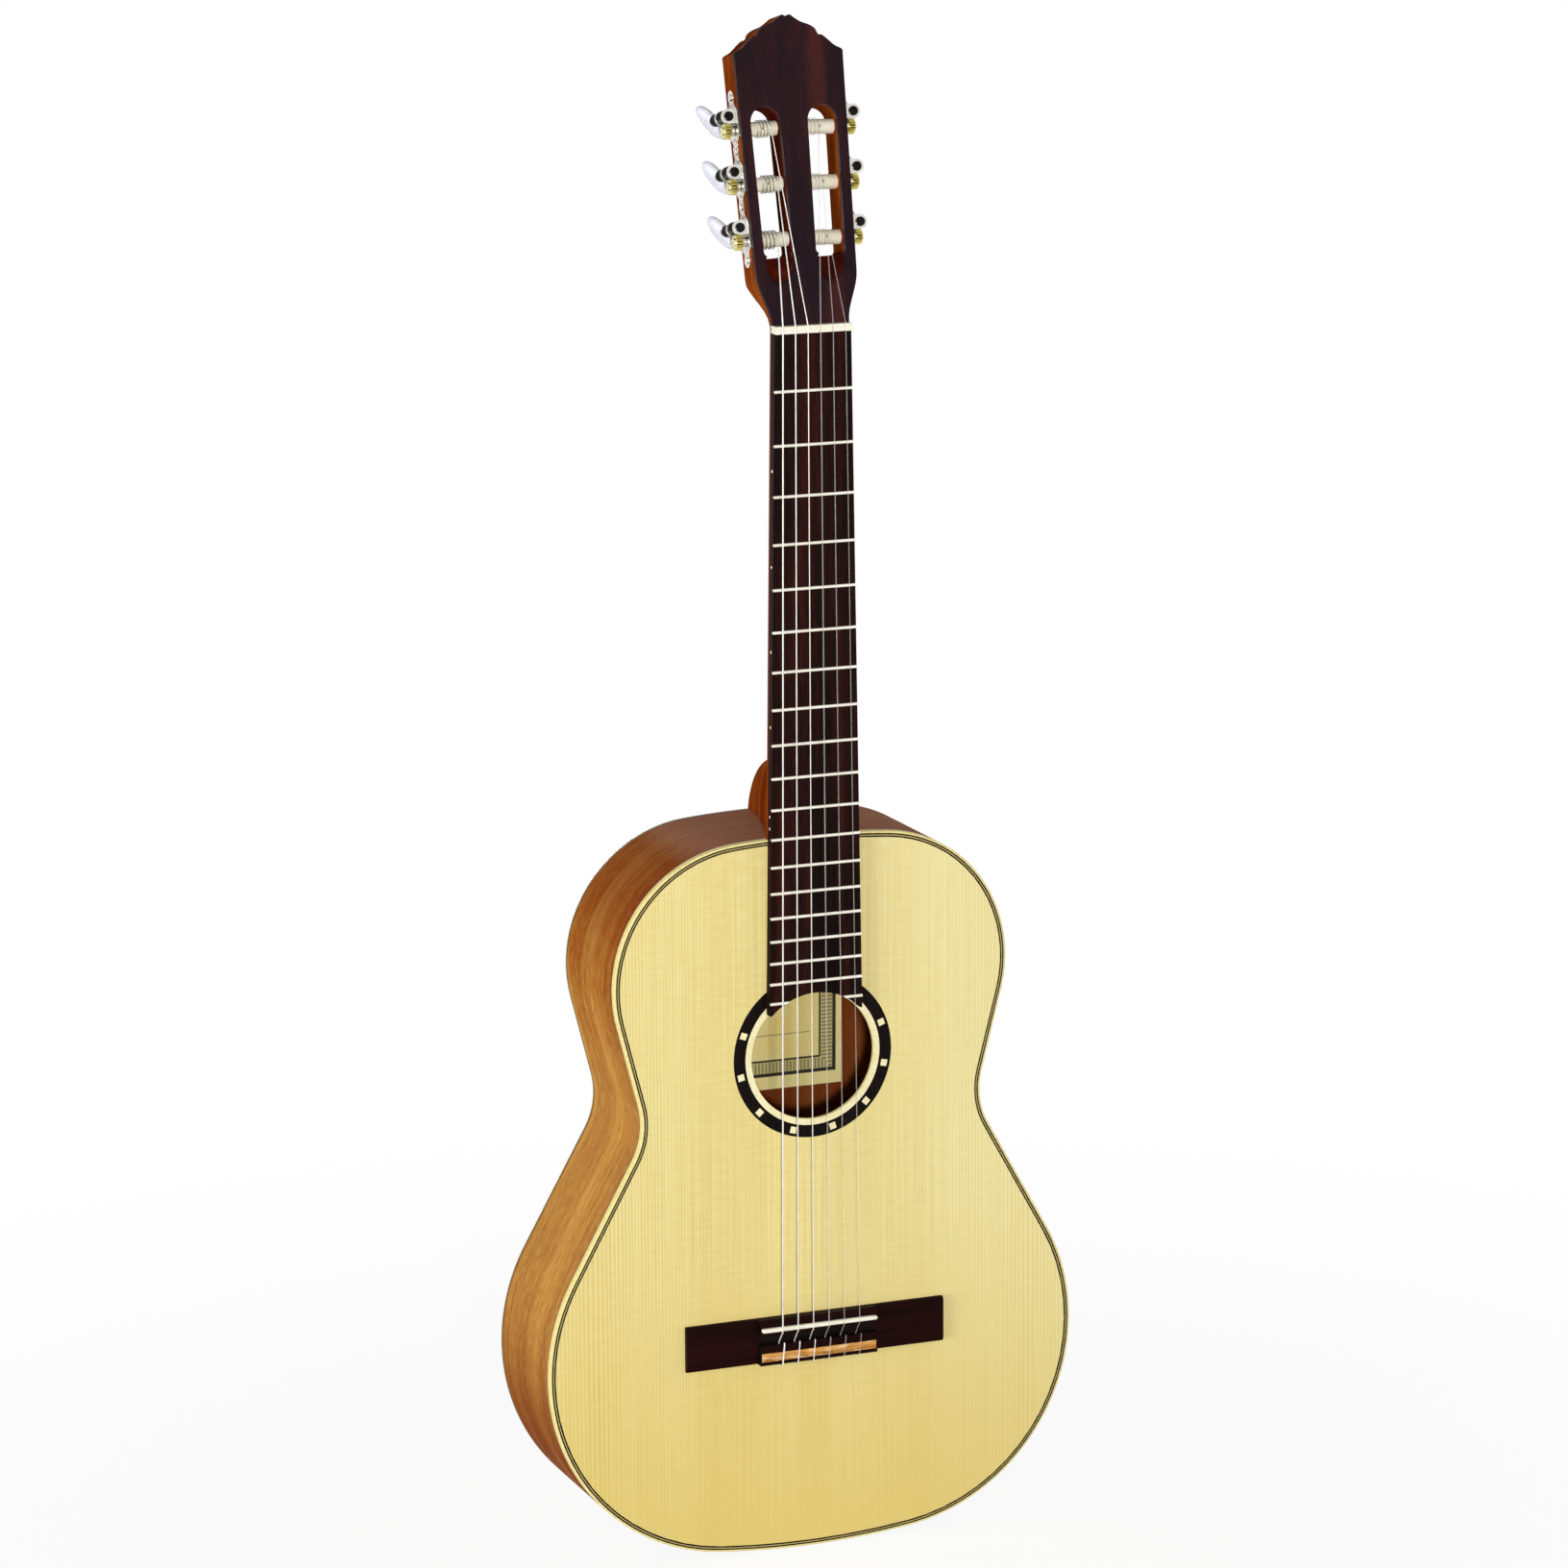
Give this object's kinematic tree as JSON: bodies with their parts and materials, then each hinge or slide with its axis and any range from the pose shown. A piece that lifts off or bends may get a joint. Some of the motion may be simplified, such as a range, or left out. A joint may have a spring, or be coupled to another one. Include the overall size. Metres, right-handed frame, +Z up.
{
  "type": "classical guitar",
  "caption": "Classical guitar: hollow waisted body with a round sound hole, neck with frets, slotted head with worm-geared tuners that turn string rollers, and a tie bridge.",
  "frame": {"origin": "on the centre line, in the front plane of the soundboard, at the height where a wall hanger holds the head below its flare", "axes": "+Z up along the neck towards the head, +X to the treble side, -Y out of the front"},
  "size_m": [0.3672, 0.1113, 1.0009],
  "materials": {
    "spruce_top": "satin varnish over fine straight grain",
    "mahogany": "satin varnish, orange brown with streaks",
    "rosewood": "oiled, near black with reddish streaks",
    "inner_wood": "bare pale wood",
    "inlay_wood": "satin caramel strip",
    "cream_strip": "polished cream",
    "dark_strip": "dyed black strip under varnish",
    "label_paper": "matt paper with a printed frame",
    "fret_wire": "polished pale wire",
    "bone": "polished off-white",
    "nickel": "bright nickel with engraved lines",
    "roller_plastic": "polished cream white",
    "gear_brass": "cut brass",
    "black_metal": "blackened",
    "pearl_plastic": "pearly white with soft swirls",
    "nylon": "clear, slightly cloudy",
    "wound_wire": "silver-plated winding"
  },
  "bodies": {
    "guitar": {"soundboard": "spruce_top", "back": "mahogany", "rib_bass": "mahogany", "rib_treble": "mahogany", "binding_front": "cream_strip", "purfling_front": "dark_strip", "binding_back": "cream_strip", "rosette_ring": "dark_strip", "rosette_inner_ring": "cream_strip", "rosette_blocks": "cream_strip", "label": "label_paper", "neck": "mahogany", "head": "mahogany", "headplate": "rosewood", "fretboard": "rosewood", "frets": "fret_wire", "nut": "bone", "bridge": "rosewood", "saddle": "bone", "tie_block_inlay": "inlay_wood", "linings": "inner_wood", "neck_block": "inner_wood", "tail_block": "inner_wood", "fan_braces": "inner_wood", "harmonic_bars": "inner_wood", "back_braces": "inner_wood", "tuner_plate_bass": "nickel", "tuner_plate_treble": "nickel", "plate_screws": "nickel", "string_1": "nylon", "string_2": "nylon", "string_3": "nylon", "string_4": "wound_wire", "string_5": "wound_wire", "string_6": "wound_wire"},
    "tuner_1": {"worm_1": "black_metal", "button_1": "pearl_plastic"},
    "string_roller_1": {"roller_1": "roller_plastic", "gear_1": "gear_brass"},
    "tuner_2": {"worm_2": "black_metal", "button_2": "pearl_plastic"},
    "string_roller_2": {"roller_2": "roller_plastic", "gear_2": "gear_brass"},
    "tuner_3": {"worm_3": "black_metal", "button_3": "pearl_plastic"},
    "string_roller_3": {"roller_3": "roller_plastic", "gear_3": "gear_brass"},
    "tuner_4": {"worm_4": "black_metal", "button_4": "pearl_plastic"},
    "string_roller_4": {"roller_4": "roller_plastic", "gear_4": "gear_brass"},
    "tuner_5": {"worm_5": "black_metal", "button_5": "pearl_plastic"},
    "string_roller_5": {"roller_5": "roller_plastic", "gear_5": "gear_brass"},
    "tuner_6": {"worm_6": "black_metal", "button_6": "pearl_plastic"},
    "string_roller_6": {"roller_6": "roller_plastic", "gear_6": "gear_brass"}
  },
  "joints": [
    {"name": "button_turn_1", "type": "hinge", "parent": "guitar", "child": "tuner_1", "pos_m": [0.04083, 0.02035, 0.04464], "axis": [0, 0.9781, -0.2079], "continuous": true},
    {"name": "roller_turn_1", "type": "hinge", "parent": "guitar", "child": "string_roller_1", "pos_m": [0.03445, 0.01856, 0.03625], "axis": [0.9998, -0.0042, -0.02], "continuous": true},
    {"name": "button_turn_2", "type": "hinge", "parent": "guitar", "child": "tuner_2", "pos_m": [0.04154, 0.02762, 0.07887], "axis": [0, 0.9781, -0.2079], "continuous": true},
    {"name": "roller_turn_2", "type": "hinge", "parent": "guitar", "child": "string_roller_2", "pos_m": [0.03516, 0.02584, 0.07048], "axis": [0.9998, -0.0042, -0.02], "continuous": true},
    {"name": "button_turn_3", "type": "hinge", "parent": "guitar", "child": "tuner_3", "pos_m": [0.04226, 0.0349, 0.1131], "axis": [0, 0.9781, -0.2079], "continuous": true},
    {"name": "roller_turn_3", "type": "hinge", "parent": "guitar", "child": "string_roller_3", "pos_m": [0.03588, 0.03311, 0.10471], "axis": [0.9998, -0.0042, -0.02], "continuous": true},
    {"name": "button_turn_4", "type": "hinge", "parent": "guitar", "child": "tuner_4", "pos_m": [-0.04226, 0.0349, 0.1131], "axis": [0, 0.9781, -0.2079], "continuous": true},
    {"name": "roller_turn_4", "type": "hinge", "parent": "guitar", "child": "string_roller_4", "pos_m": [-0.03588, 0.03311, 0.10471], "axis": [-0.9998, -0.0042, -0.02], "continuous": true},
    {"name": "button_turn_5", "type": "hinge", "parent": "guitar", "child": "tuner_5", "pos_m": [-0.04154, 0.02762, 0.07887], "axis": [0, 0.9781, -0.2079], "continuous": true},
    {"name": "roller_turn_5", "type": "hinge", "parent": "guitar", "child": "string_roller_5", "pos_m": [-0.03516, 0.02584, 0.07048], "axis": [-0.9998, -0.0042, -0.02], "continuous": true},
    {"name": "button_turn_6", "type": "hinge", "parent": "guitar", "child": "tuner_6", "pos_m": [-0.04083, 0.02035, 0.04464], "axis": [0, 0.9781, -0.2079], "continuous": true},
    {"name": "roller_turn_6", "type": "hinge", "parent": "guitar", "child": "string_roller_6", "pos_m": [-0.03445, 0.01856, 0.03625], "axis": [-0.9998, -0.0042, -0.02], "continuous": true}
  ],
  "couplings": [
    {"joint": "roller_turn_1", "follows": "button_turn_1", "ratio": -0.071429},
    {"joint": "roller_turn_2", "follows": "button_turn_2", "ratio": -0.071429},
    {"joint": "roller_turn_3", "follows": "button_turn_3", "ratio": -0.071429},
    {"joint": "roller_turn_4", "follows": "button_turn_4", "ratio": -0.071429},
    {"joint": "roller_turn_5", "follows": "button_turn_5", "ratio": -0.071429},
    {"joint": "roller_turn_6", "follows": "button_turn_6", "ratio": -0.071429}
  ]
}
